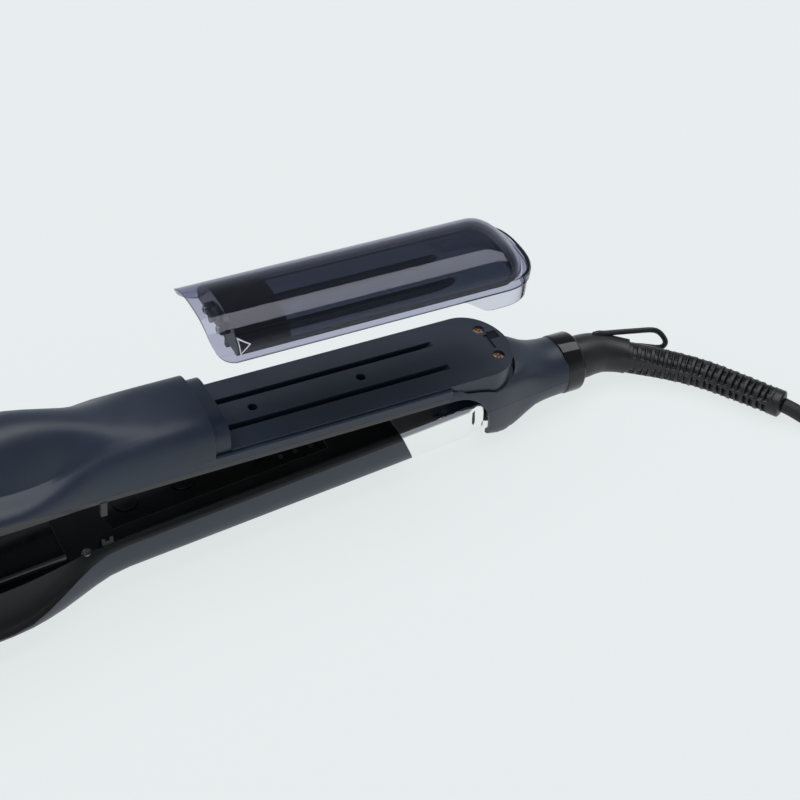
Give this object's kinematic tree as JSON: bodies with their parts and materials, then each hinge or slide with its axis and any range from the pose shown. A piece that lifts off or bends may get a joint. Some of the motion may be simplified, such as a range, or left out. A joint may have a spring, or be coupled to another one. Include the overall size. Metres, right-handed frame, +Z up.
{
  "type": "steam hair straightener",
  "caption": "Two-armed steam hair straightener with a lift-off tinted water tank, floating plates, press buttons and a swivel cord folded for storage.",
  "frame": {"origin": "middle of the footprint of the arms on the surface they rest on", "axes": "+X along the lower arm towards the cord, +Y across the arms, +Z up"},
  "size_m": [0.5933, 0.1358, 0.1143],
  "materials": {
    "navy_shell": "satin moulded navy plastic",
    "grey_frame": "fine matt dark grey plastic",
    "black_frame": "matt black heat-resistant plastic",
    "gloss_black": "polished black plastic",
    "chrome_trim": "bright chrome-plated plastic",
    "plate_ceramic": "dark coated aluminium plate",
    "steel": "bare steel",
    "screw_steel": "yellow passivated steel",
    "heater_brass": "flat heater",
    "board_green": "circuit board",
    "lens": "clear light lens",
    "soft_seal": "silicone seal",
    "boiler_metal": "die-cast boiler",
    "clear_cover": "clear smoke tinted plastic",
    "smoke_vessel": "dark smoke tinted plastic",
    "water_tube": "translucent silicone tube",
    "cord_rubber": "matt black soft plastic",
    "loop_wire": "coated steel wire",
    "plug_metal": "nickel-plated brass pins"
  },
  "bodies": {
    "lower_arm": {"lower_shell": "navy_shell", "lower_frame": "black_frame", "control_panel": "gloss_black", "indicator_lights": "lens", "control_board": "board_green", "key_switches": "steel", "lower_carrier": "black_frame", "chrome_cap": "chrome_trim", "hinge_knuckle": "black_frame", "frame_screws": "steel", "guide_posts": "black_frame", "hinge_pin": "steel", "hinge_spring": "steel"},
    "power_key": {"power_button": "gloss_black"},
    "mode_key": {"mode_button": "gloss_black"},
    "slider": {"lock_slider": "black_frame"},
    "lower_plate_unit": {"lower_plate": "plate_ceramic", "lower_heater": "heater_brass", "lower_plate_springs": "steel"},
    "upper_arm": {"upper_shell": "navy_shell", "port_block": "navy_shell", "port_seals": "soft_seal", "tank_dock": "navy_shell", "dock_screws": "screw_steel", "upper_frame": "grey_frame", "upper_carrier": "black_frame", "steam_chamber": "boiler_metal", "water_pump": "black_frame", "water_tubes": "water_tube", "steam_bar": "black_frame", "tail_shell": "navy_shell", "tail_screws": "steel", "collar_ring": "gloss_black"},
    "catch": {"tank_catch": "black_frame", "catch_spring": "steel"},
    "upper_plate_unit": {"upper_plate": "plate_ceramic", "upper_heater": "heater_brass", "upper_plate_springs": "steel"},
    "tank": {"tank_cover": "clear_cover", "tank_reservoir": "smoke_vessel", "valve_block": "black_frame", "tank_nozzles": "smoke_vessel", "nozzle_seals": "soft_seal"},
    "stopper": {"filler_plug": "soft_seal"},
    "cord": {"swivel_boot": "cord_rubber", "cord_guard": "cord_rubber", "power_cord": "cord_rubber", "cord_hank": "cord_rubber", "cord_tie": "soft_seal", "plug_body": "cord_rubber", "plug_pins": "plug_metal"},
    "loop": {"hanging_loop": "loop_wire"}
  },
  "joints": [
    {"name": "arm_hinge", "type": "hinge", "parent": "lower_arm", "child": "upper_arm", "pos_m": [0.12484, 0, 0.01755], "axis": [0, 1, 0], "range_deg": [-6.26, 0], "stiffness_Nm_per_rad": 1.2, "springref_deg": 34.38},
    {"name": "power_press", "type": "slide", "parent": "lower_arm", "child": "power_key", "axis": [0, 0, 1], "range_m": [-0.0005, 0], "stiffness_N_per_m": 300, "springref_m": 0.001},
    {"name": "mode_press", "type": "slide", "parent": "lower_arm", "child": "mode_key", "axis": [0, 0, 1], "range_m": [-0.0005, 0], "stiffness_N_per_m": 300, "springref_m": 0.001},
    {"name": "slider_slide", "type": "slide", "parent": "lower_arm", "child": "slider", "axis": [0, 1, 0], "range_m": [0, 0.004]},
    {"name": "lower_plate_float", "type": "slide", "parent": "lower_arm", "child": "lower_plate_unit", "axis": [0, 0, 1], "range_m": [-0.001, 0], "stiffness_N_per_m": 1500, "springref_m": 0.002},
    {"name": "upper_plate_float", "type": "slide", "parent": "upper_arm", "child": "upper_plate_unit", "axis": [0.109, 0, 0.994], "range_m": [0, 0.001], "stiffness_N_per_m": 1500, "springref_m": -0.002},
    {"name": "catch_press", "type": "slide", "parent": "upper_arm", "child": "catch", "axis": [0.109, 0, 0.994], "range_m": [-0.0015, 0], "stiffness_N_per_m": 300, "springref_m": 0.001},
    {"name": "tank_lift", "type": "slide", "parent": "upper_arm", "child": "tank", "axis": [0.0471, 0, 0.9989], "range_m": [-0.04509, 0]},
    {"name": "stopper_pull", "type": "slide", "parent": "tank", "child": "stopper", "axis": [-0.994, 0, 0.109], "range_m": [0, 0.008]},
    {"name": "cord_swivel", "type": "hinge", "parent": "upper_arm", "child": "cord", "pos_m": [0.1646, 0, 0.01319], "axis": [0.994, 0, -0.109], "continuous": true},
    {"name": "loop_swing", "type": "hinge", "parent": "cord", "child": "loop", "pos_m": [0.18074, 0.0095, 0.00825], "axis": [0.1667, -0.4782, 0.8623], "range_deg": [0, 60]}
  ]
}
